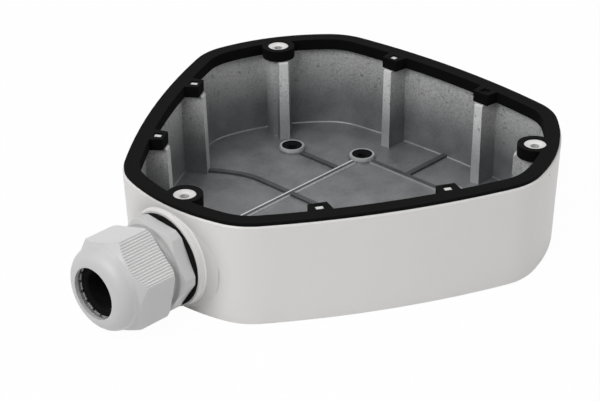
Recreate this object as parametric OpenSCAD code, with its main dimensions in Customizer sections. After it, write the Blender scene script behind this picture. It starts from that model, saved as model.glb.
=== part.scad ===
// Camera junction box: a die-cast rounded-triangle box, open at the top,
// with a rubber rim gasket, rubber wall plugs and a cable gland in one corner.
// Millimetres, +Z up. The origin is the centre of the three camera screws,
// on the flat back of the casting, and the gland points along -X.

/* [Outline at the rim] */
// Radius of the circle that the camera screws lie on
screw_circle_r = 75; // [70:0.1:85]
// How far the corners reach beyond the screw circle
corner_margin = 9; // [8:0.1:12]
// How far the middles of the long sides stay inside the screw circle
side_margin = 5.3; // [3:0.1:7]
// Radius of the slight bow of each long side
side_bow_r = 300; // [200:5:500]
// Distance of a corner cap's centre of curvature from the box's centre
cap_centre = 6.5; // [4:0.1:9]
// Radius of the blends between sides and caps
blend_r = 23.7; // [16:0.1:26]

/* [Casting] */
// Height of the rim above the back
rim_h = 39.3; // [38:0.1:60]
// Inset of the outer wall at the back, from mould draft
outer_draft = 1.6; // [0.4:0.1:2]
// Wall thickness at the rim
wall_t = 3.7; // [3.4:0.1:4.5]
// Extra thickness of the wall at the floor, from mould draft
inner_draft = 0.4; // [0.1:0.1:1]
// Thickness of the floor
floor_t = 2.6; // [2.2:0.1:4]
// Bevel round the rim and the back
edge_bevel = 0.5; // [0.2:0.1:0.8]
// Cove between wall and floor
cove = 0.4; // [0.2:0.1:2]

/* [Camera screw bosses] */
// Radius of a boss where it shows through the gasket
boss_top_r = 4; // [3.6:0.05:4.3]
// Radius of the column below the gasket
boss_column_r = 4.4; // [4.3:0.1:5]
// Height of a boss above the rim
boss_proud = 0.9; // [0.3:0.1:1.2]
// Radius of the tapped hole
screw_hole_r = 1.65; // [1.2:0.05:2]
// Depth of the tapped hole
screw_hole_depth = 6; // [4:0.5:6.5]
// Radius of the dish round the tapped hole
dish_r = 3.2; // [2.6:0.1:3.4]
// Depth of the dish
dish_depth = 0.6; // [0.3:0.1:1]
// How far the stiffening nose reaches inward of a boss
nose_reach = 7.5; // [6:0.1:9]
// Height of the short boss over the gland, below the gasket's lip
short_boss_h = 3.4; // [2:0.1:3.4]

/* [Wall ribs] */
// Distance of each gasket post from the middle of its side's outer edge
post_inset = 9.3; // [8:0.1:11]
// Distance of each post from the middle of its side
post_offset = 23.2; // [18:0.1:26]
// Width of a square post
post_w = 2.9; // [2:0.1:3.2]
// Height of a post above the rim
post_proud = 0.6; // [0.2:0.1:1]
// Width of a wall rib at its top
rib_w = 3.7; // [3:0.1:5]
// Extra width of a wall rib at the floor
rib_draft = 0.5; // [0.1:0.1:1]
// How far a wall rib reaches inward of its post
rib_reach = 3.9; // [2.5:0.1:5]

/* [Floor] */
// Width of the floor ribs
floor_rib_w = 2.2; // [1.2:0.1:3]
// Height of the floor ribs
floor_rib_h = 0.9; // [0.5:0.1:1.5]
// Spacing of the four wall holes along X
wall_hole_dx = 83.3; // [70:0.1:86]
// Spacing of the four wall holes along Y
wall_hole_dy = 46; // [30:0.1:50]
// Radius of the circle of the three other wall holes
wall_hole_circle_r = 56.5; // [52:0.1:58]
// Height of the raised seat round a wall hole
seat_h = 2.1; // [1.5:0.1:3]
// Wall of the raised seat
seat_wall = 0.85; // [0.6:0.05:1.2]
// X of the rib that crosses the floor
cross_rib_x = 0.5; // [-5:0.5:5]
// Half length of its straight stretch
cross_rib_y = 39; // [30:0.5:44]
// Length of its bend towards the wall rib
cross_rib_bend = 10; // [4:0.5:12]

/* [Wall plugs] */
// Radius of the head of a rubber wall plug
plug_r = 4.05; // [3.8:0.05:4.4]
// Radius of its neck
plug_neck_r = 2.8; // [2.4:0.05:3.2]
// Radius of its bore
plug_bore_r = 1.65; // [1:0.05:2]
// Thickness of its head
plug_head_t = 2.2; // [1.2:0.1:2.4]
// Clearance all round a plug
plug_gap = 0.05; // [0.02:0.01:0.2]

/* [Rim gasket] */
// Thickness on the rim
gasket_t = 1.33; // [1:0.01:2]
// Width on the rim
gasket_w = 5.6; // [5:0.1:7]
// How far the lip hangs below the rim
lip_drop = 3.2; // [2:0.1:4]
// Clearance between the lip and the casting
gasket_gap = 0.1; // [0.05:0.01:0.3]
// Radius of the lobe round each boss
lobe_r = 6.5; // [5.6:0.1:7.5]
// Width of a tab at its root
tab_root_w = 8.6; // [7:0.1:10]
// Width of a tab at its end
tab_end_w = 7; // [5.5:0.1:8]
// How far a tab reaches inward of its post
tab_reach = 2.9; // [1.9:0.1:3.4]

/* [Cable gland] */
// How far the gland's axis lies below the middle of the box's height
gland_drop = 0.45; // [0:0.05:1]
// How far the flat pad stands out of the corner
pad_proud = 1.8; // [0.6:0.1:3]
// Extra radius of the pad over the sealing washer
pad_margin = 0.7; // [0.5:0.1:1.1]
// Extra radius of the pad at its root
pad_draft = 0.3; // [0.1:0.1:0.5]
// Width of the sloping skirt between the pad and the corner's wall
skirt_w = 3.4; // [1:0.1:4]
// How far inside the rim's outer edge the skirt meets the pad
skirt_back = 0.7; // [0.5:0.1:1.5]
// Length of the tapped gland hole
gland_hole_len = 8; // [6:0.5:10]
// Radius of the tapped gland hole
gland_hole_r = 12.5; // [11:0.1:12.6]
// How far the gland's thread reaches in beyond its hole
shank_end = 1; // [0:0.5:3]
// Width of the nut's hexagon across its flats
hex_af = 32.1; // [31:0.1:33]
// How far the nut's turned corners stand out beyond its flats
corner_over = 1.85; // [1.2:0.05:2.3]
// How far the sealing washer reaches beyond the nut's flats
washer_over = 1.05; // [0.7:0.05:1.2]
// Thickness of the sealing washer
washer_t = 1.4; // [1:0.1:3]
// Thickness of the hexagon flange
flange_t = 5.4; // [4:0.1:8]
// Width of the flange's hexagon across its flats
flange_af = 31.4; // [30:0.1:32]
// How far the flange's turned corners stand out beyond its flats
flange_corner_over = 1.5; // [1:0.05:2]
// Bevel round the flange's front
flange_bevel = 1; // [0.4:0.1:1.5]
// Turn of the flange's hexagon about the gland's axis
flange_turn = 25.5; // [0:0.5:59]
// Wall of the neck, between its thread and the cage
neck_wall = 2.4; // [1.8:0.1:3]
// Radius of the cable passage through the body
passage_r = 9.8; // [8:0.1:10.5]

/* [Dome nut] */
// Gap between the flange and the nut
nut_gap = 3.7; // [3.4:0.1:5]
// How far the nut still travels when it is tightened
tighten_travel = 3.1; // [2:0.1:3.3]
// Turn of the nut's hexagon about the gland's axis
nut_turn = 46.3; // [0:0.1:59]
// Length of the whole nut
nut_len = 22; // [21:0.1:24]
// Wall of the nut over its thread
nut_wall = 1.95; // [1.6:0.05:2.4]
// Length of the slanted shoulder between hexagon and dome
shoulder_len = 2.9; // [2:0.1:4]
// Radius of the dome's rounding
dome_r = 6.2; // [5.8:0.1:6.6]
// Width of the flat land round the aperture
face_land = 0.35; // [0.2:0.05:0.8]
// Depth of the aperture's straight lip
aperture_lip = 1.4; // [1:0.1:2.5]
// Grip ribs on each face
grip_count = 17; // [9:1:21]
// Depth of the grooves between grip ribs
grip_depth = 0.4; // [0.2:0.05:0.6]
// Clearance on the neck's thread
thread_gap = 0.1; // [0.05:0.01:0.2]

/* [Clamping cage and seal] */
// Clearance round the cage
cage_gap = 0.2; // [0.1:0.05:0.4]
// Wall of the cage
cage_wall = 2.1; // [1.8:0.1:2.4]
// Length of the cage
cage_len = 18.6; // [17:0.1:19]
// Fingers round the cage
finger_count = 16; // [8:1:20]
// Width of the slots between fingers
slot_w = 1.2; // [0.6:0.1:2]
// Depth of the slots between fingers
slot_len = 7; // [4:0.5:9]
// Thickness of a finger's tip
finger_tip_t = 0.6; // [0.5:0.05:0.9]
// Clearance between the seal and the cage
seal_gap = 0.1; // [0.05:0.01:0.2]
// Wall of the rubber seal
seal_wall = 2.5; // [1.5:0.1:4]
// Setback of the seal behind the fingers' tips
seal_setback = 0.2; // [0.1:0.1:2]
// Length of the seal
seal_len = 15; // [12:0.5:17]

/* [Hidden] */
$fn = 96;
eps = 0.01;
skin = 0.001;
arc_steps = 12;
bend_steps = 6;
SIDES = [0, 120, 240];
CORNERS = [60, 180, 300];
GLAND_CORNER = 180;
corner_reach = screw_circle_r + corner_margin;
side_reach = screw_circle_r - side_margin;
cap_r = corner_reach - cap_centre;
post_reach = side_reach - post_inset;
gasket_inset = edge_bevel;
gasket_z = rim_h + gasket_t;
lip_z = rim_h - lip_drop;
shoulder_z = lip_z - gasket_gap;
boss_z = rim_h + boss_proud;
post_z = rim_h + post_proud;
gasket_inner = gasket_inset + gasket_w;
seat_z = floor_t + seat_h;
seat_r = plug_r + plug_gap + seat_wall;
plug_seat_z = seat_z - plug_head_t - plug_gap;
column_r_floor = boss_column_r + 0.6;

// Plan centres of the arcs: side bow on +X, cap on the 60 degree ray, blend between them
side_c = [side_reach - side_bow_r, 0];
cap_c = cap_centre * [cos(60), sin(60)];
side_to_cap = cap_c - side_c;
centre_gap = norm(side_to_cap);
side_span = side_bow_r - blend_r;
cap_span = cap_r - blend_r;
along = (centre_gap * centre_gap + side_span * side_span - cap_span * cap_span) / (2 * centre_gap);
across = sqrt(side_span * side_span - along * along);
blend_c = side_c + (along * side_to_cap + across * [-side_to_cap[1], side_to_cap[0]]) / centre_gap;
side_a = atan2(blend_c[1] - side_c[1], blend_c[0] - side_c[0]);
cap_a = atan2(blend_c[1] - cap_c[1], blend_c[0] - cap_c[0]);

// Radii of the gland, from the nut's hexagon inward
flat_r = hex_af / 2;
hex_corner_r = flat_r + corner_over;
flange_corner_r = flange_af / 2 + flange_corner_over;
washer_r = flat_r + washer_over;
pad_r = washer_r + pad_margin;
skirt_r = pad_r + pad_draft;
neck_r = flat_r - nut_wall;
socket_r = neck_r - neck_wall;
cage_r = socket_r - cage_gap;
cage_bore_r = cage_r - cage_wall;
tip_r = cage_bore_r + finger_tip_t;
seal_r = cage_bore_r - seal_gap;
seal_bore_r = seal_r - seal_wall;
dome_c = flat_r - dome_r;
aperture_r = dome_c - face_land;

// Stations along the gland's axis, measured from the centre outward
gland_z = rim_h / 2 - gland_drop;
pad_face = corner_reach + pad_proud;
inner_pad_x = pad_face - gland_hole_len;
shank_x = inner_pad_x - shank_end;
washer_face = pad_face + washer_t;
flange_face = washer_face + flange_t;
nut_rear = flange_face + nut_gap;
nut_face = nut_rear + nut_len;
dome_x = nut_face - dome_r;
hex_end = dome_x - shoulder_len;
thread_end = hex_end + 0.5;
neck_end = thread_end - tighten_travel - 0.5;
lip_x = nut_face - aperture_lip;

// The fingers' tips lie along the nut's inner cone, a little inside it
cone_slope = (neck_r + thread_gap - aperture_r) / (lip_x - thread_end);
cone_gap = 0.3;
cage_tip = lip_x - (tip_r + cone_gap - aperture_r) / cone_slope;
cage_taper = (cage_r - tip_r) / cone_slope;
cage_rear = cage_tip - cage_len;
socket_x = cage_rear - tighten_travel - 0.4;

wall_holes = concat(
    [for (sx = [-1, 1], sy = [-1, 1]) [sx * wall_hole_dx / 2, sy * wall_hole_dy / 2]],
    [for (a = CORNERS) wall_hole_circle_r * [cos(a), sin(a)]]);

// Points along one arc, none of them at its ends
function arc_points(c, r, a0, a1) =
    [for (i = [0:arc_steps - 1])
        let (a = a0 + (a1 - a0) * (i + 0.5) / arc_steps)
        c + r * [cos(a), sin(a)]];

function turned(p, a) = [p[0] * cos(a) - p[1] * sin(a), p[0] * sin(a) + p[1] * cos(a)];

// Reflected in the 60 degree ray
function mirrored(p) = [p[0] * cos(120) + p[1] * sin(120), p[0] * sin(120) - p[1] * cos(120)];

// One third of the outline: a side, a blend, a cap and the next blend
function third_points(inset) = concat(
    arc_points(side_c, side_bow_r - inset, -side_a, side_a),
    arc_points(blend_c, blend_r - inset, side_a, cap_a),
    arc_points(cap_c, cap_r - inset, cap_a, 120 - cap_a),
    arc_points(mirrored(blend_c), blend_r - inset, 120 - cap_a, 120 - side_a));

// The box's outline, drawn in from the rim's outer edge by an even inset
function plan_points(inset) = [for (a = SIDES) each [for (p = third_points(inset)) turned(p, a)]];

module outline(z0, z1, inset) {
    translate([0, 0, z0])
        linear_extrude(z1 - z0)
            polygon(plan_points(inset));
}

// The solid spanned by outlines at given [height, inset] stages
module drafted(stages) {
    hull()
        for (s = stages)
            outline(s[0], s[0] + skin, s[1]);
}

// Puts a shape at each gasket post: local +X points outward, square to the side
module at_posts() {
    for (a = SIDES, s = [-1, 1])
        rotate(a) translate([0, s * post_offset, 0]) children();
}

module cavity() {
    inset = wall_t + inner_draft;
    drafted([[floor_t, inset + cove], [floor_t + cove, inset], [rim_h + 1, wall_t]]);
}

module outer_form() {
    drafted([[0, outer_draft + edge_bevel], [edge_bevel, outer_draft],
             [rim_h - edge_bevel - skin, 0], [rim_h - skin, edge_bevel]]);
}

// A wall rib with a drafted nose and sides, from reach x0 out into the wall
module drafted_rib(x0, x1, z1) {
    z0 = floor_t - 1;
    slope = 0.9;
    chamfer = 0.6;
    intersection() {
        rotate([90, 0, 0])
            linear_extrude(rib_w + rib_draft + 2, center = true)
                polygon([[x1, z0], [x0 - slope, z0], [x0, z1 - chamfer], [x0 + chamfer, z1], [x1, z1]]);
        translate([x0 - slope - 1, 0, 0])
            rotate([90, 0, 90])
                linear_extrude(x1 - x0 + slope + 2)
                    polygon([[-(rib_w + rib_draft) / 2, z0], [(rib_w + rib_draft) / 2, z0],
                             [rib_w / 2, z1], [-rib_w / 2, z1]]);
    }
}

module wall_rib() {
    drafted_rib(post_reach - rib_reach, side_reach - wall_t + 0.4, shoulder_z);
    translate([post_reach - post_w / 2, -post_w / 2, shoulder_z - 1])
        cube([post_w, post_w, post_z - shoulder_z + 1]);
}

// A boss with a web to the corner's wall, from height z0 to the gasket's lip
module boss(z0, r0) {
    web = 2 * boss_column_r - 1.2;
    translate([screw_circle_r, 0, z0])
        cylinder(h = shoulder_z - z0, r1 = r0, r2 = boss_column_r);
    translate([screw_circle_r, 0, shoulder_z - 1])
        cylinder(h = boss_z - shoulder_z + 1, r = boss_top_r);
    translate([screw_circle_r, -web / 2, z0])
        cube([corner_reach - wall_t + 1 - screw_circle_r, web, shoulder_z - z0]);
}

module boss_hole() {
    translate([screw_circle_r, 0, boss_z - screw_hole_depth])
        cylinder(h = screw_hole_depth + 1, r = screw_hole_r);
    translate([screw_circle_r, 0, boss_z - dish_depth])
        cylinder(h = dish_depth + eps, r1 = screw_hole_r, r2 = dish_r);
}

// Plan of one floor rib with rounded ends, from point p to q
module rib_plan(p, q) {
    run = q - p;
    translate(p)
        rotate(atan2(run[1], run[0])) {
            translate([0, -floor_rib_w / 2]) square([norm(run), floor_rib_w]);
            circle(r = floor_rib_w / 2);
            translate([norm(run), 0]) circle(r = floor_rib_w / 2);
        }
}

// Points on the bend of the cross rib, from its straight stretch to a wall rib's foot
function bend_point(i, foot, s) =
    let (t = i / bend_steps, u = 1 - t,
         p = u * u * [cross_rib_x, cross_rib_y]
             + 2 * u * t * [cross_rib_x, cross_rib_y + cross_rib_bend] + t * t * foot)
    [p[0], s * p[1]];

module floor_ribs() {
    hx = wall_hole_dx / 2;
    hy = wall_hole_dy / 2;
    triad = wall_hole_circle_r * [cos(60), sin(60)];
    foot_reach = post_reach - rib_reach;
    foot = [foot_reach * cos(120) + post_offset * sin(120), foot_reach * sin(120) - post_offset * cos(120)];
    wall_x = side_reach - wall_t - inner_draft;
    translate([0, 0, floor_t - 1])
        linear_extrude(floor_rib_h + 1) {
            for (s = [-1, 1]) {
                rib_plan([-wall_x, s * hy], [hx, s * hy]);
                rib_plan([triad[0], s * hy], [triad[0], s * triad[1]]);
                for (i = [0:bend_steps - 1])
                    rib_plan(bend_point(i, foot, s), bend_point(i + 1, foot, s));
            }
            rib_plan([hx, -hy], [hx, hy]);
            rib_plan([cross_rib_x, -cross_rib_y], [cross_rib_x, cross_rib_y]);
            rib_plan([hx, 0], [wall_x, 0]);
        }
}

// Lays a shape drawn along +Z onto the gland's axis
module on_gland_axis() {
    translate([0, 0, gland_z]) rotate([0, -90, 0]) children();
}

module tube(z0, z1, r_out, r_in) {
    translate([0, 0, z0])
        difference() {
            cylinder(h = z1 - z0, r = r_out);
            translate([0, 0, -1]) cylinder(h = z1 - z0 + 2, r = r_in);
        }
}

module gland_pad() {
    root_x = corner_reach - wall_t;
    skirt_x = corner_reach - skirt_back;
    low = edge_bevel + 1;
    high = rim_h - edge_bevel - 1;
    inner_r = min(gland_z - floor_t, shoulder_z - gland_z) - 0.2;
    on_gland_axis() {
        translate([0, 0, root_x])
            cylinder(h = pad_face - root_x, r1 = pad_r + pad_draft, r2 = pad_r);
        intersection() {
            translate([0, 0, root_x])
                cylinder(h = skirt_x - root_x, r1 = skirt_r + skirt_w, r2 = skirt_r);
            translate([low - gland_z, -2 * pad_r, root_x - 1])
                cube([high - low, 4 * pad_r, pad_face - root_x]);
        }
        translate([0, 0, inner_pad_x])
            cylinder(h = root_x + 0.5 - inner_pad_x, r = inner_r);
    }
}

module box_body() {
    color([0.86, 0.86, 0.85])
        difference() {
            union() {
                difference() {
                    outer_form();
                    cavity();
                }
                at_posts() wall_rib();
                for (a = CORNERS)
                    if (a != GLAND_CORNER)
                        rotate(a) {
                            boss(floor_t - 1, column_r_floor);
                            drafted_rib(screw_circle_r - nose_reach, screw_circle_r, shoulder_z);
                        }
                rotate(GLAND_CORNER) boss(shoulder_z - short_boss_h, boss_column_r);
                gland_pad();
                floor_ribs();
                for (p = wall_holes)
                    translate([p[0], p[1], floor_t - 1])
                        cylinder(h = seat_h + 1, r1 = seat_r + 0.6, r2 = seat_r);
            }
            for (a = CORNERS) rotate(a) boss_hole();
            on_gland_axis()
                translate([0, 0, inner_pad_x - 1])
                    cylinder(h = gland_hole_len + 2, r = gland_hole_r);
            for (p = wall_holes)
                translate([p[0], p[1], 0]) {
                    translate([0, 0, plug_seat_z]) cylinder(h = seat_h + 4, r = plug_r + plug_gap);
                    translate([0, 0, -1]) cylinder(h = seat_h + 4, r = plug_neck_r + plug_gap);
                }
        }
}

// The gasket without its holes: a flange on the rim and a lip hanging inside the wall
module gasket_outer() {
    lip_inset = wall_t + inner_draft * lip_drop / rim_h + gasket_gap;
    outline(rim_h, gasket_z, gasket_inset);
    outline(lip_z, rim_h + gasket_t / 2, lip_inset);
}

// The gasket's opening, with a lobe round each boss and six tabs left standing in it
module gasket_window() {
    z0 = lip_z - 1;
    h = gasket_z - lip_z + 2;
    difference() {
        outline(z0, z0 + h, gasket_inner);
        for (a = CORNERS)
            rotate(a) translate([screw_circle_r, 0, z0 - 1]) cylinder(h = h + 2, r = lobe_r);
        at_posts()
            translate([0, 0, z0 - 1])
                linear_extrude(h + 2)
                    polygon([[post_reach - tab_reach, -tab_end_w / 2],
                             [post_reach - tab_reach, tab_end_w / 2],
                             [side_reach, tab_root_w / 2 + 1],
                             [side_reach, -tab_root_w / 2 - 1]]);
    }
}

module rim_gasket() {
    hole_w = post_w + 2 * gasket_gap;
    color([0.09, 0.09, 0.09])
        difference() {
            gasket_outer();
            gasket_window();
            for (a = CORNERS)
                rotate(a)
                    translate([screw_circle_r, 0, lip_z - 1])
                        cylinder(h = gasket_z - lip_z + 2, r = boss_top_r + gasket_gap);
            at_posts()
                translate([post_reach - hole_w / 2, -hole_w / 2, lip_z - 1])
                    cube([hole_w, hole_w, gasket_z - lip_z + 2]);
        }
}

module gland_washer() {
    color([0.07, 0.07, 0.07])
        on_gland_axis() tube(pad_face, washer_face, washer_r, gland_hole_r);
}

// The flange's hexagon, with its corners turned to a radius and its front bevelled
module flange_hexagon() {
    z0 = washer_face;
    z1 = flange_face;
    intersection() {
        rotate(flange_turn)
            translate([0, 0, z0])
                cylinder(h = z1 - z0, r = flange_af / sqrt(3), $fn = 6);
        union() {
            translate([0, 0, z0 - 1])
                cylinder(h = z1 - z0 + 1 - flange_bevel, r = flange_corner_r);
            translate([0, 0, z1 - flange_bevel])
                cylinder(h = flange_bevel + eps, r1 = flange_corner_r,
                         r2 = flange_corner_r - 1.7 * flange_bevel);
        }
    }
}

module gland_body() {
    shank_r = gland_hole_r - thread_gap;
    color([0.83, 0.83, 0.82])
        on_gland_axis()
            difference() {
                union() {
                    translate([0, 0, shank_x])
                        cylinder(h = washer_face + 1 - shank_x, r = shank_r);
                    flange_hexagon();
                    translate([0, 0, flange_face - 1])
                        cylinder(h = neck_end + 1 - flange_face, r = neck_r);
                }
                translate([0, 0, shank_x - 1])
                    cylinder(h = neck_end + 2 - shank_x, r = passage_r);
                translate([0, 0, socket_x])
                    cylinder(h = neck_end + 1 - socket_x, r = socket_r);
            }
}

// A point on face k of the nut's hexagon, t along it and some depth below it
function face_point(k, t, depth) =
    let (a = 60 * k + 30, reach = flat_r - depth)
    [reach * cos(a) - t * sin(a), reach * sin(a) + t * cos(a)];

// The nut's hexagon with grip ribs on all its faces, as a plan outline
function grip_outline() =
    let (half = flat_r * tan(30), pitch = 2 * half / (grip_count + 1))
    [for (k = [0:5], i = [0:2 * grip_count + 1])
        face_point(k, -half + i * pitch / 2, i % 2 == 0 ? 0 : grip_depth)];

// Half section of the nut's turned form: bevelled rear, hexagon, slanted shoulder and dome
module nut_section() {
    corner = hex_corner_r + 0.4;
    bevel = 0.8;
    polygon([[0, nut_rear], [corner - bevel, nut_rear], [corner, nut_rear + bevel],
             [corner, hex_end], [flat_r - 0.2, dome_x - 0.6],
             [dome_c, dome_x - 0.6], [dome_c, nut_face], [0, nut_face]]);
    intersection() {
        translate([dome_c, dome_x]) circle(r = dome_r);
        translate([dome_c - 0.1, dome_x - 0.7]) square([dome_r + 1, dome_r + 2]);
    }
}

module gland_dome_nut() {
    color([0.83, 0.83, 0.82])
        on_gland_axis()
            difference() {
                intersection() {
                    rotate(nut_turn)
                        translate([0, 0, nut_rear - 1])
                            linear_extrude(nut_len + 2)
                                polygon(grip_outline());
                    rotate_extrude() nut_section();
                }
                translate([0, 0, nut_rear - 1])
                    cylinder(h = thread_end - nut_rear + 1, r = neck_r + thread_gap);
                translate([0, 0, thread_end - eps])
                    cylinder(h = lip_x - thread_end + 2 * eps, r1 = neck_r + thread_gap, r2 = aperture_r);
                translate([0, 0, lip_x - eps])
                    cylinder(h = aperture_lip + 1, r = aperture_r);
            }
}

module gland_clamping_cage() {
    color([0.75, 0.75, 0.74])
        on_gland_axis()
            difference() {
                rotate_extrude()
                    polygon([[cage_bore_r, cage_rear], [cage_r, cage_rear],
                             [cage_r, cage_tip - cage_taper], [tip_r, cage_tip],
                             [cage_bore_r, cage_tip]]);
                for (i = [0:finger_count - 1])
                    rotate(360 / finger_count * i)
                        translate([cage_bore_r / 2, -slot_w / 2, cage_tip - slot_len])
                            cube([cage_r, slot_w, slot_len + 1]);
            }
}

module gland_seal() {
    front = cage_tip - seal_setback;
    bevel = 0.8;
    color([0.06, 0.06, 0.06])
        on_gland_axis()
            difference() {
                tube(front - seal_len, front, seal_r, seal_bore_r);
                translate([0, 0, front - bevel])
                    cylinder(h = bevel + eps, r1 = seal_bore_r, r2 = seal_bore_r + bevel);
            }
}

// A rubber plug in a raised seat of the floor
module wall_plug(p) {
    head_z = seat_z - 0.3;
    color([0.08, 0.08, 0.08])
        translate([p[0], p[1], 0])
            difference() {
                union() {
                    translate([0, 0, plug_seat_z + plug_gap])
                        cylinder(h = head_z - plug_seat_z - plug_gap, r = plug_r);
                    translate([0, 0, 0.3]) cylinder(h = plug_seat_z, r = plug_neck_r);
                }
                translate([0, 0, -1]) cylinder(h = seat_z + 2, r = plug_bore_r);
                translate([0, 0, head_z - 0.5])
                    cylinder(h = 0.5 + eps, r1 = plug_bore_r, r2 = plug_bore_r + 0.9);
            }
}

box_body();
rim_gasket();
gland_body();
gland_washer();
gland_dome_nut();
gland_clamping_cage();
gland_seal();
wall_plug(wall_holes[0]);  // wall_plug_1
wall_plug(wall_holes[1]);  // wall_plug_2
wall_plug(wall_holes[2]);  // wall_plug_3
wall_plug(wall_holes[3]);  // wall_plug_4
wall_plug(wall_holes[4]);  // wall_plug_5
wall_plug(wall_holes[5]);  // wall_plug_6
wall_plug(wall_holes[6]);  // wall_plug_7
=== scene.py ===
# %% [markdown]
# # A camera junction box
# A cast aluminium box for the cables behind a security camera. White coat outside, bare
# casting inside, a black rubber gasket on its rim and a plastic cable gland in one corner.
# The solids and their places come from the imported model. This lesson gives each piece its
# softened edges, its small details and its finish, then sets camera, light and floor.

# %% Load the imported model
import math
import bpy
from mathutils import Matrix, Vector


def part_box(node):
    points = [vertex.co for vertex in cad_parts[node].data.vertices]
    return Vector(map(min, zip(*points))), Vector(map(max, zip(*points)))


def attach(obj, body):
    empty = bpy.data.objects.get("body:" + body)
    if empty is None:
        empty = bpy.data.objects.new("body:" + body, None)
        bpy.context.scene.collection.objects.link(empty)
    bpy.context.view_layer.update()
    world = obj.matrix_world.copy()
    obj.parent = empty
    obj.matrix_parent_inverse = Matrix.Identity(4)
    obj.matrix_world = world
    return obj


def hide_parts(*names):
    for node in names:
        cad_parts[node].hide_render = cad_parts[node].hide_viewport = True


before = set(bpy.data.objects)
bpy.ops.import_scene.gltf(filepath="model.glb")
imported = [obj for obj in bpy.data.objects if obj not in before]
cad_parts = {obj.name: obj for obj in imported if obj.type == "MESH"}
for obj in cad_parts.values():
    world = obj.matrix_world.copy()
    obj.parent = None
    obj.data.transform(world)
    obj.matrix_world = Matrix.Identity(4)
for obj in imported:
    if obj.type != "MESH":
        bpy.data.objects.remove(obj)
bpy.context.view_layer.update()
MM = 0.001
print("nodes:", len(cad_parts))

# %% [markdown]
# The camera was found by fitting a pinhole camera to the outline, the three screw bosses and
# the ribs in the photograph. A long lens from 0.75 m away gives the mild perspective there.

# %% Camera
LENS, SENSOR = 117.15, 36.0
ROLL = math.radians(-0.649)
camera_data = bpy.data.cameras.new("camera")
camera_data.lens = LENS
camera_data.sensor_width = SENSOR
camera = bpy.data.objects.new("camera", camera_data)
bpy.context.scene.collection.objects.link(camera)
eye = Vector((-474.23, -443.25, 357.02)) * MM
aim = Vector((2.633, 19.918, 0.0)) * MM
turn = (aim - eye).to_track_quat("-Z", "Y").to_matrix().to_4x4()
camera.matrix_world = Matrix.Translation(eye) @ turn @ Matrix.Rotation(ROLL, 4, "Z")
bpy.context.scene.camera = camera
bpy.context.scene.view_settings.view_transform = "Standard"
print("camera at", [round(v, 3) for v in eye])

# %% [markdown]
# A finish is a small network of shader nodes. Two classes keep it readable. `Signal` wraps
# one output socket, so that sums such as `1 - mask * 0.5` add their Math nodes by themselves,
# and `a | b` is the larger of the two.

# %% Signal
class Signal:
    def __init__(self, finish, socket):
        self.finish = finish
        self.socket = socket

    def _math(self, operation, a, b):
        return self.finish.add("Math", {"operation": operation}, {0: a, 1: b})

    def __add__(self, other):
        return self._math("ADD", self, other)

    def __radd__(self, other):
        return self._math("ADD", other, self)

    def __sub__(self, other):
        return self._math("SUBTRACT", self, other)

    def __rsub__(self, other):
        return self._math("SUBTRACT", other, self)

    def __mul__(self, other):
        return self._math("MULTIPLY", self, other)

    def __rmul__(self, other):
        return self._math("MULTIPLY", other, self)

    def __or__(self, other):
        return self._math("MAXIMUM", self, other)


# %% [markdown]
# `Finish` is one material in the making. It places any node by its type, its settings and its
# sockets, and has a short name for what nearly every finish needs: noise, a band of height, a
# patch near a point, a blend of two colours, a bump and the closing surface.

# %% Finish
class Finish:
    output = "OutputMaterial"

    def __init__(self, name, collection=bpy.data.materials):
        self.material = collection.new(name)
        self.material.use_nodes = True
        self.tree = self.material.node_tree
        self.tree.nodes.clear()

    def add(self, kind, settings=None, inputs=None, output=0):
        node = self.tree.nodes.new("ShaderNode" + kind)
        for key, value in (settings or {}).items():
            if key == "stops":
                for stop in value[2:]:
                    node.color_ramp.elements.new(stop[0])
                for element, (place, shade) in zip(node.color_ramp.elements, value):
                    element.position = place
                    element.color = (shade, shade, shade, 1)
            else:
                setattr(node, key, value)
        for key, value in (inputs or {}).items():
            if isinstance(value, Signal):
                self.tree.links.new(value.socket, node.inputs[key])
            else:
                node.inputs[key].default_value = value
        return Signal(self, node.outputs[output])

    def place(self):
        return self.add("TexCoord", output="Object")

    def noise(self, scale, detail, roughness=0.5):
        inputs = {"Vector": self.place(), "Scale": scale, "Detail": detail, "Roughness": roughness}
        return self.add("TexNoise", {}, inputs)

    def height(self, low, high):
        up = self.add("SeparateXYZ", {}, {"Vector": self.place()}, "Z")
        return self.add("MapRange", {"interpolation_type": "SMOOTHSTEP"},
                        {"Value": up, "From Min": low * MM, "From Max": high * MM})

    def near(self, point, inner, outer):
        gap = self.add("VectorMath", {"operation": "DISTANCE"},
                       {0: self.place(), 1: [v * MM for v in point]}, "Value")
        return self.add("MapRange", {},
                        {"Value": gap, "From Min": outer * MM, "From Max": inner * MM})

    def steps(self, value, *stops):
        return self.add("ValToRGB", {"stops": stops}, {"Fac": value})

    def blend(self, factor, dark, light):
        return self.add("Mix", {"data_type": "RGBA"}, {0: factor, 6: dark, 7: light}, 2)

    def bump(self, height, strength, distance):
        return self.add("Bump", {}, {"Height": height, "Strength": strength, "Distance": distance})

    def surface(self, **sockets):
        inputs = {key.replace("_", " "): value for key, value in sockets.items()}
        shader = self.add("BsdfPrincipled", {}, inputs)
        return self.show(shader)

    def show(self, shader):
        out = self.tree.nodes.new("ShaderNode" + self.output)
        self.tree.links.new(shader.socket, out.inputs["Surface"])
        return self.material


WARM, COOL = 0.017, -0.02


def grey(value, warmth=0.0):
    return (value * (1 + warmth), value, value * (1 - warmth), 1.0)


print("a warm grey:", [round(v, 3) for v in grey(0.8, WARM)])

# %% [markdown]
# The outside is powder coated. Seen close, the coat is a very fine orange peel with a satin
# shine, and it is never one even white, so a large faint noise shifts its tone. One tiny
# pinhole shows below the rim on the right. Round the gland's pad the coat is painted greyer
# in a soft ring: painted shade, where the pad and the gland shade the wall.

# %% White coat
def middle(node):
    low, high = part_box(node)
    return (low + high) / 2 / MM


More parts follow.
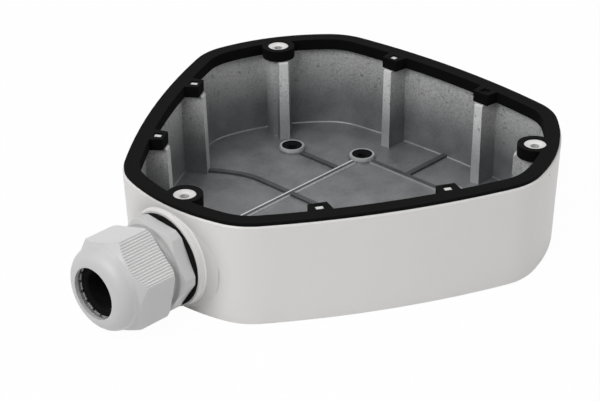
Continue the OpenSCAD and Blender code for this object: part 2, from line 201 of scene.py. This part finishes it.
PINHOLE = (28.3, -78.9, 36.2)
GLAND_Z = middle("gland_washer").z
PAD_CENTRE = (-83.5, 0, GLAND_Z)
PAD_REACH = 18.1
PAD_EDGE = 0.4
PAD_SHADE = 10


def white_coat():
    f = Finish("white_coat")
    cloud = f.noise(18, 2)
    peel = f.noise(2200, 2)
    tone = f.blend(cloud, grey(0.79, WARM), grey(0.83, WARM))
    tone = f.blend(f.near(PINHOLE, 0.3, 0.55), tone, grey(0.25))
    pad = f.near(PAD_CENTRE, PAD_REACH, PAD_REACH + PAD_EDGE)
    # painted shade: a soft grey ring on the wall round the pad, fading outwards
    corner = f.near(PAD_CENTRE, PAD_REACH, PAD_REACH + PAD_SHADE) * (1 - pad)
    tone = f.blend(corner * corner, tone, grey(0.50, WARM))
    return f.surface(Base_Color=tone, Roughness=0.42 + cloud * 0.08,
                     Normal=f.bump(peel, 0.08, 0.0002), Specular_IOR_Level=0.45)


coat = white_coat()
print("coat:", coat.name, len(coat.node_tree.nodes), "nodes")


# %% [markdown]
# Inside, the die left bare aluminium: a grey skin with cloudy flow marks, fine grain and a
# dull metal shine. The mist of the coat drifted in over the rim while the outside was
# sprayed, so the walls are finely speckled towards the top. They also grow paler towards the
# top, partly from that mist and partly as painted light, with painted shade lower down. On
# the tops of the long floor ribs one edge has a painted highlight, a narrow band at one
# distance across.

# %% Bare casting
# a painted highlight line at one distance across, on the floor ribs' dark tops
HIGHLIGHT_LINE = 23.6
HIGHLIGHT_LINE_HALF = 0.35


def bare_casting(name, dark, light, mist_and_light, ground=0.0, pale=0.70, highlight=0.0):
    f = Finish(name)
    cloud = f.noise(28, 4, 0.6)
    blotch = f.steps(f.noise(95, 5, 0.65), (0.35, 0.0), (0.68, 1.0))
    grain = f.steps(f.noise(1300, 3, 0.6), (0.36, 0.0), (0.64, 1.0))
    pits = f.steps(f.noise(520, 2, 0.5), (0.64, 0.0), (0.72, 1.0))
    mix = cloud * 0.45 + blotch * 0.35 + grain * 0.2
    metal = f.blend(mix, grey(dark, COOL), grey(light, COOL))
    # paler towards the top: partly the coat's mist, partly painted light above and painted shade
    # below
    height_of_mist_and_light = f.height(9, 38) * (1 - ground) + ground
    mist_and_painted_light = height_of_mist_and_light * mist_and_light * (0.55 + grain * 0.5 + cloud * 0.3) * (1 - pits * 0.7)
    tone = f.blend(mist_and_painted_light, metal, grey(pale))
    # painted highlight: a narrow pale band along the ribs
    if highlight:
        across = f.add("SeparateXYZ", {}, {"Vector": f.place()}, "Y")
        line = f.add("Math", {"operation": "COMPARE"},
                     {0: across | across * -1, 1: HIGHLIGHT_LINE * MM, 2: HIGHLIGHT_LINE_HALF * MM})
        tone = f.blend(line, tone, grey(highlight))
    return f.surface(Base_Color=tone, Metallic=0.55 - mist_and_painted_light * 0.5,
                     Roughness=0.36 + blotch * 0.10 + grain * 0.10,
                     Normal=f.bump(cloud * 0.5 + grain * 0.3 - pits * 0.4, 0.3, 0.0004))


casting = bare_casting("bare_casting", dark=0.13, light=0.31, mist_and_light=0.86)
# painted light: a lighter copy of the casting for faces square on to the middle, with the same mist
lit_nose_casting = bare_casting("misted_casting_painted_light", dark=0.34, light=0.52, mist_and_light=1.15, ground=0.1,
                            pale=0.9)
# painted highlight: a pale copy of the casting for rounded edges and the sides of the long floor
# ribs
edge_highlight_casting = bare_casting("edge_painted_highlight", dark=0.62, light=0.85, mist_and_light=1.0, ground=1.0, pale=0.95)
# painted shade: a dark copy of the casting for the floor ribs, with a painted highlight line
rib_shaded_casting = bare_casting("rib_painted_shade", dark=0.05, light=0.14, mist_and_light=0.0, highlight=0.75)
print("castings:", casting.name, lit_nose_casting.name, edge_highlight_casting.name, rib_shaded_casting.name)


# %% [markdown]
# The rubber pieces are nearly black and matt, with a slightly uneven moulded skin.

# %% Rubber
def rubber(name, shade):
    f = Finish(name)
    skin = f.noise(420, 4, 0.6)
    tone = f.blend(skin, grey(shade * 0.7), grey(shade * 1.5))
    return f.surface(Base_Color=tone, Roughness=0.7 + skin * 0.2,
                     Normal=f.bump(skin, 0.15, 0.0003), Specular_IOR_Level=0.045)


gasket_black = rubber("gasket_rubber", 0.004)
washer_black = rubber("washer_rubber", 0.006)
plug_black = rubber("plug_rubber", 0.006)
print("rubbers:", gasket_black.name, washer_black.name, plug_black.name)


# %% [markdown]
# The gland is moulded nylon: smoother than the coat, a little shinier and without grain.
# The dome nut's grip ribs are painted darker in their grooves, as painted shade, and their
# nylon is painted lighter than the dome's, as painted light.
# How deep a point lies is read from its distance to the hexagon's flats.

# %% Nylon
NUT_TURN = 46.3
GROOVE, CREST = 15.66, 15.98


# the mask for painted shade in the grooves
def groove_shade_mask(f):
    spot = f.add("VectorMath", {"operation": "SUBTRACT"}, {0: f.place(), 1: (0, 0, GLAND_Z * MM)})
    flats = []
    for turn in (NUT_TURN, NUT_TURN + 60, NUT_TURN + 120):
        a = math.radians(turn)
        along = f.add("VectorMath", {"operation": "DOT_PRODUCT"},
                      {0: spot, 1: (0, -math.cos(a), math.sin(a))}, "Value")
        flats.append(along | along * -1)
    reach = flats[0] | flats[1] | flats[2]
    return f.add("MapRange", {}, {"Value": reach, "From Min": CREST * MM, "From Max": GROOVE * MM})


def nylon(name, shade, groove_shade=0.0):
    f = Finish(name)
    cloud = f.noise(60, 3)
    skin = f.noise(1500, 2)
    tone = f.blend(cloud, grey(shade * 0.97), grey(shade * 1.03))
    if groove_shade:
        tone = f.blend(groove_shade_mask(f), tone, grey(shade * (1 - groove_shade)))
    return f.surface(Base_Color=tone, Roughness=0.38 + cloud * 0.08,
                     Normal=f.bump(skin, 0.05, 0.0002), Specular_IOR_Level=0.5)


gland_white = nylon("gland_nylon", 0.61)
# painted light and shade: lighter nylon on the ribbed flanks, painted darker in the grooves
ribbed_lit_and_shaded = nylon("ribbed_nylon_painted_light_and_shade", 0.74, groove_shade=0.14)
cage_grey = nylon("cage_nylon", 0.42)
print("nylons:", gland_white.name, ribbed_lit_and_shaded.name, cage_grey.name)

# %% [markdown]
# A solid from CAD arrives as loose triangles with knife-sharp edges, and no real casting or
# moulding has those. A copy is merged, its flat areas are joined into single faces, and a
# Bevel modifier rounds every edge. The rounded edges catch the light, as in the photograph.
# Weighted normals then keep the large flat faces evenly shaded up to their rounded edges.

# %% Soften a copy of a CAD node
SAME_PLACE = 1e-6
SAME_PLANE = math.radians(0.4)
SHARP = math.radians(28)


def choose(obj):
    bpy.ops.object.select_all(action="DESELECT")
    obj.select_set(True)
    bpy.context.view_layer.objects.active = obj


def softened(node, radius, materials, edge_slot=-1, turned=None):
    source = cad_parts[node]
    piece = bpy.data.objects.new(node + "_piece", source.data.copy())
    bpy.context.scene.collection.objects.link(piece)
    piece.data.materials.clear()
    for material in materials:
        piece.data.materials.append(material)
    choose(piece)
    bpy.ops.object.mode_set(mode="EDIT")
    bpy.ops.mesh.select_all(action="SELECT")
    bpy.ops.mesh.remove_doubles(threshold=SAME_PLACE)
    bpy.ops.mesh.customdata_custom_splitnormals_clear()
    bpy.ops.mesh.dissolve_limited(angle_limit=SAME_PLANE)
    bpy.ops.object.mode_set(mode="OBJECT")
    if turned:
        trim = piece.modifiers.new("trim", "BOOLEAN")
        trim.operation = "INTERSECT"
        trim.object = turned
        bpy.ops.object.modifier_apply(modifier="trim")
        bpy.data.objects.remove(turned)
    rounding = piece.modifiers.new("rounding", "BEVEL")
    rounding.width = radius * MM
    rounding.segments = 2
    rounding.limit_method = "ANGLE"
    rounding.angle_limit = SHARP
    rounding.material = edge_slot
    bpy.ops.object.modifier_apply(modifier="rounding")
    bpy.ops.object.shade_smooth_by_angle(angle=SHARP)
    flats = piece.modifiers.new("flats", "WEIGHTED_NORMAL")
    flats.keep_sharp = True
    bpy.ops.object.modifier_apply(modifier="flats")
    print(piece.name, len(piece.data.polygons), "faces")
    return piece


def finish_piece(piece, node, body):
    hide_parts(node)
    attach(piece, body)


# %% [markdown]
# The casting carries two finishes. Faces inside the box stay bare, and the outer wall, the
# back, the rim, the pad and the tips of bosses and posts were sprayed white. The Bevel
# modifier gives its new faces a pale material of their own: a painted highlight on the
# rounded edges of the ribs. The noses of the wall ribs and the upper hole seats get a lighter
# copy of the casting, painted light, and the tops of the floor ribs a darker one, painted
# shade, with one painted highlight line. The rubber fills the seats, and one post at the back
# right gets a black top like the rubber.

# %% Box body
# The edge slot holds a painted highlight, the nose slot painted light and the rib top slot painted
# shade.
COAT, BARE, EDGE_HIGHLIGHT, LIT_NOSE, SHADED_RIB, RUBBER = range(6)
body = softened("box_body", 0.35,
                [coat, casting, edge_highlight_casting, lit_nose_casting, rib_shaded_casting, gasket_black],
                edge_slot=EDGE_HIGHLIGHT)
finish_piece(body, "box_body", "box")
print("body slots:", [material.name for material in body.data.materials])

# %% [markdown]
# A face's finish follows from where it lies: how deep inside the wall's outer line, how high,
# and how near to a hole. The outer line is three long arcs and three corner arcs. The coat
# covers the wall, the tips of bosses and posts and the back. Below, depths are measured from
# the outer line, heights from the back, and reaches from the middle of a post or a hole. The
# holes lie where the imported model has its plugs.

# %% Places on the body
BLACK_TOPPED_POST = Vector((60.4, -23.2))
POST_REACH = 3.5
TIPS = 38.9
BACK = 2.2
WALL = 3.3
COVE = 6
LEDGE = 4
FLOOR_RIB_BASE, FLOOR_RIB_TOP = 3.4, 3.6
CROSS_RIB = (35, 43)
NOSE_DEPTH = 8
SEAT_BORE, SEAT_REACH, SEAT_FOOT = 4.3, 6.2, 3.7
BIG_FACE = 60 * MM * MM
LEVEL, SQUARE_ON, STEEP = 0.95, 0.985, 0.5
SIDE_R, SIDE_CENTRE = 300, -230.3
CAP_R, CAP_CENTRE = 77.5, 6.5
CORNERS = [math.radians(a) for a in (60, 180, 300)]
SIDES = [math.radians(a) for a in (0, 120, 240)]
PLUGS = sorted(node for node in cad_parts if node.startswith("wall_plug"))
HOLES = [middle(plug).xy for plug in PLUGS]


def ray(angle, reach):
    return Vector((math.cos(angle), math.sin(angle))) * reach


def wall_depth(p):
    corner = max(CORNERS, key=lambda a: ray(a, 1).dot(p))
    side = min(SIDE_R - (p - ray(a, SIDE_CENTRE)).length for a in SIDES)
    return min(side, CAP_R - (p - ray(corner, CAP_CENTRE)).length)


print("depth of the middle:", round(wall_depth(Vector((0, 0))), 1), "holes:", len(HOLES))


# %% Finish of each face
def finish_of_floor_rib(place, normal):
    if CROSS_RIB[0] < place.x < CROSS_RIB[1]:
        return LIT_NOSE
    along_x = place.x < CROSS_RIB[0] and abs(normal.y) > abs(normal.x)
    return EDGE_HIGHLIGHT if along_x else SHADED_RIB


def finish_of(face):
    c = face.center / MM
    n = face.normal
    depth = wall_depth(c.xy)
    rounded = face.material_index == EDGE_HIGHLIGHT
    to_hole = min((c.xy - hole).length for hole in HOLES)
    facing_middle = max(-ray(a, 1).dot(n.xy) for a in SIDES + CORNERS)
    # the post at the back right gets a black top, as black as the rubber
    if (c.xy - BLACK_TOPPED_POST).length < POST_REACH and c.z > TIPS:
        return RUBBER
    if depth < WALL or c.z > TIPS or c.z < BACK:
        return COAT
    if c.z < FLOOR_RIB_TOP and depth < COVE:
        return BARE
    if to_hole < SEAT_BORE and abs(n.z) < STEEP:
        return RUBBER
    if to_hole < SEAT_REACH and not rounded:
        return LIT_NOSE if c.z > SEAT_FOOT else BARE
    if to_hole < SEAT_REACH:
        return EDGE_HIGHLIGHT
    if c.z < FLOOR_RIB_TOP and abs(n.z) < LEVEL:
        return finish_of_floor_rib(c, n)
    if FLOOR_RIB_BASE < c.z < FLOOR_RIB_TOP:
        return SHADED_RIB
    if rounded:
        return EDGE_HIGHLIGHT
    # faces square on to the middle get the lighter copy: painted light
    if depth > NOSE_DEPTH and facing_middle > SQUARE_ON and c.z > LEDGE and face.area > BIG_FACE:
        return LIT_NOSE
    return BARE


for face in body.data.polygons:
    face.material_index = finish_of(face)
print("faces of each finish:", [sum(1 for face in body.data.polygons if face.material_index == i)
                                for i in range(len(body.data.materials))])

# %% [markdown]
# The gasket is one rubber moulding that lies on the rim. Moulded rubber has soft edges, so its
# copy gets a slightly smaller rounding than the casting and one finish all over.

# %% Gasket
gasket = softened("rim_gasket", 0.25, [gasket_black])
finish_piece(gasket, "rim_gasket", "box")

# %% [markdown]
# The gland's turned forms start as a half section of stations and radii. A small plane is
# merged to one vertex, and that vertex is extruded from station to station, as a turner's
# template would be drawn. Then the Screw modifier winds the section round the gland's axis.

# %% Turned forms of the gland
def spin(name, section, steps=96, **winding_settings):
    stations = [Vector((-x, 0, r)) * MM for x, r in section]
    bpy.ops.object.select_all(action="DESELECT")
    bpy.ops.mesh.primitive_plane_add(size=MM, location=(0, 0, GLAND_Z * MM))
    form = bpy.context.object
    form.name = form.data.name = name
    bpy.context.tool_settings.mesh_select_mode = (True, False, False)
    bpy.ops.object.mode_set(mode="EDIT")
    bpy.ops.mesh.merge(type="CENTER")
    bpy.ops.transform.translate(value=stations[0])
    for here, there in zip(stations, stations[1:]):
        bpy.ops.mesh.extrude_region_move(TRANSFORM_OT_translate={"value": there - here})
    bpy.ops.object.mode_set(mode="OBJECT")
    winding = form.modifiers.new("winding", "SCREW")
    winding.axis = "X"
    winding.steps = winding.render_steps = steps
    for key, value in winding_settings.items():
        setattr(winding, key, value)
    choose(form)
    bpy.ops.object.modifier_apply(modifier="winding")
    bpy.ops.object.transform_apply(location=True)
    bpy.ops.object.mode_set(mode="EDIT")
    bpy.ops.mesh.select_all(action="SELECT")
    bpy.ops.mesh.remove_doubles(threshold=SAME_PLACE)
    bpy.ops.mesh.fill_holes(sides=4)
    bpy.ops.mesh.select_all(action="SELECT")
    bpy.ops.mesh.normals_make_consistent(inside=False)
    bpy.ops.object.mode_set(mode="OBJECT")
    print(name, len(form.data.polygons), "faces")
    return form


# %% [markdown]
# One such form trims the dome nut. In the photograph its dome is a little slimmer than the
# hexagon, with a fine step at its foot, and it rounds off to the aperture in a quarter of an
# ellipse. Behind and round the flanks the form is wide, so that nothing is trimmed there.

# %% Form of the dome nut
BEHIND, OUTSIDE = 95, 20
DOME_FOOT, DOME_LENGTH = 112.5, 5.78
APERTURE_R, DOME_DROP = 9.6, 5.8
ROUND = [math.radians(a) for a in range(0, 91, 6)]
dome = [(DOME_FOOT + DOME_LENGTH * math.sin(a), APERTURE_R + DOME_DROP * math.cos(a)) for a in ROUND]
NUT_FORM = [(BEHIND, 0), (BEHIND, OUTSIDE), (107.55, OUTSIDE)]
NUT_FORM += [(111.45, 15.85), (111.75, 15.6), (112.1, 15.44)]
NUT_FORM += dome + [(DOME_FOOT + DOME_LENGTH, 0)]
print("nut form:", len(NUT_FORM), "points")

# %% [markdown]
# All five pieces of the gland are softened copies too. The dome nut has two finishes: its
# ribbed flanks get a lighter nylon, painted light, with painted shade in the grooves.

# %% Gland
def on_flank(face):
    out = Vector((face.center.y, face.center.z - GLAND_Z * MM)).normalized()
    n = face.normal
    outside = abs(n.x) < 0.2 and out.dot(n.yz) > 0.3
    return 1 if outside else 0


GLAND = [
    ("gland_body", "box", gland_white, "gland_plastic", 0.2),
    ("gland_washer", "box", washer_black, "washer_rubber", 0.3),
    ("gland_dome_nut", "nut", gland_white, "gland_plastic", 0.06),
    ("gland_clamping_cage", "clamp", cage_grey, "cage_plastic", 0.15),
    ("gland_seal", "clamp", washer_black, "seal_rubber", 0.2),
]
for node, rides_on, material, slot, radius in GLAND:
    if node == "gland_dome_nut":
        piece = softened(node, radius, [material, ribbed_lit_and_shaded], turned=spin("nut_form", NUT_FORM))
        for face in piece.data.polygons:
            face.material_index = on_flank(face)
    else:
        piece = softened(node, radius, [material])
    finish_piece(piece, node, rides_on)

# %% [markdown]
# Between the dome nut and the hexagon flange a few turns of the neck's thread stay in sight.
# The CAD neck is a plain cylinder at the thread's full size. Here the neck is drawn in to the
# core of the thread, and one ridge is wound round it by the Screw modifier.

# %% Core of the neck
NECK_R = 14.1
CORE_R = 13.3
FLANGE_FACE = 92.6


def pick(piece, test):
    choose(piece)
    bpy.context.tool_settings.mesh_select_mode = (True, False, False)
    bpy.ops.object.mode_set(mode="EDIT")
    bpy.ops.mesh.select_all(action="DESELECT")
    bpy.ops.object.mode_set(mode="OBJECT")
    for vertex in piece.data.vertices:
        vertex.select = test(vertex.co / MM)
    bpy.ops.object.mode_set(mode="EDIT")
    print(piece.name, "picked", piece.data.total_vert_sel)


def on_neck(p):
    return p.x < -FLANGE_FACE - 0.05 and abs(math.hypot(p.y, p.z - GLAND_Z) - NECK_R) < 0.2


pick(bpy.data.objects["gland_body_piece"], on_neck)
shrink = CORE_R / NECK_R
bpy.ops.transform.resize(value=(1, shrink, shrink), center_override=(0, 0, GLAND_Z * MM))
bpy.ops.object.mode_set(mode="OBJECT")

# %% Thread on the neck
PITCH = 1.5
ROOT_R, CREST_R = 13.0, 14.0
TOOTH = [(103.9, ROOT_R), (102.6, ROOT_R), (103.15, CREST_R), (103.35, CREST_R), (103.9, ROOT_R)]
ridge = spin("neck_thread", TOOTH, 64, screw_offset=PITCH * MM, iterations=7)
ridge.data.materials.append(gland_white)
choose(ridge)
bpy.ops.object.shade_smooth_by_angle(angle=math.radians(40))
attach(ridge, "box")
print("neck thread:", len(ridge.data.polygons), "faces")

# %% [markdown]
# Seven small rubber plugs close the wall holes. They are alike, so one loop rounds and
# finishes them, and each stays a piece of its own.

# %% Wall plugs
for node in PLUGS:
    finish_piece(softened(node, 0.25, [plug_black]), node, "box")

# %% [markdown]
# The photograph has a pure white background. World and floor are plain white to the camera,
# to mirror rays and to rays through glass, and everything else sees a softly lit room. The
# floor keeps a little of its real shading, so that the object's shadow stays on it.

# %% World
class Room(Finish):
    output = "OutputWorld"


def seen_directly(finish):
    kinds = ("Camera", "Glossy", "Transmission")
    rays = [finish.add("LightPath", output=f"Is {kind} Ray") for kind in kinds]
    return rays[0] | rays[1] | rays[2]


room = Room("studio", bpy.data.worlds)
soft = room.add("Background", {}, {"Color": grey(1), "Strength": 0.05})
white = room.add("Background", {}, {"Color": grey(1), "Strength": 1.0})
backdrop = room.add("MixShader", {}, {0: seen_directly(room), 1: soft, 2: white})
bpy.context.scene.world = room.show(backdrop)
print("world:", bpy.context.scene.world.name)

# %% Floor
f = Finish("floor_white")
matt = f.add("BsdfDiffuse", {}, {"Color": grey(0.85)})
glow = f.add("Emission", {}, {"Color": grey(1), "Strength": 1.0})
f.show(f.add("MixShader", {}, {0: seen_directly(f) * 0.975, 1: matt, 2: glow}))
bpy.ops.object.select_all(action="DESELECT")
bpy.ops.mesh.primitive_circle_add(vertices=96, radius=3.0, fill_type="NGON", location=(0, 0, 0))
floor = bpy.context.object
floor.name = "floor"
floor.data.materials.append(f.material)
print("floor:", floor.name)

# %% [markdown]
# Four square softboxes light the box. The key stands to the left, over the gland, a weaker
# one behind it lifts the far side, the fill lights the long front wall, and the top one
# reaches the floor inside.

# %% Lamps
LAMP_SIZE = 0.8
LAMP_AIM = Vector((0, 0, 0.02))


def lamp(name, place, power):
    data = bpy.data.lights.new(name, "AREA")
    data.shape = "RECTANGLE"
    data.size = data.size_y = LAMP_SIZE
    data.energy = power
    obj = bpy.data.objects.new(name, data)
    bpy.context.scene.collection.objects.link(obj)
    obj.location = place
    obj.rotation_euler = (LAMP_AIM - Vector(place)).to_track_quat("-Z", "Y").to_euler()


lamp("key", (-0.98, -0.17, 1.0), 10.5)
lamp("side", (-0.87, 0.5, 0.8), 2)
lamp("fill", (0.5, -0.87, 0.6), 3.2)
lamp("top", (0.1, 0.3, 1.3), 4.6)
print("lamps:", [light.name for light in bpy.data.lights])
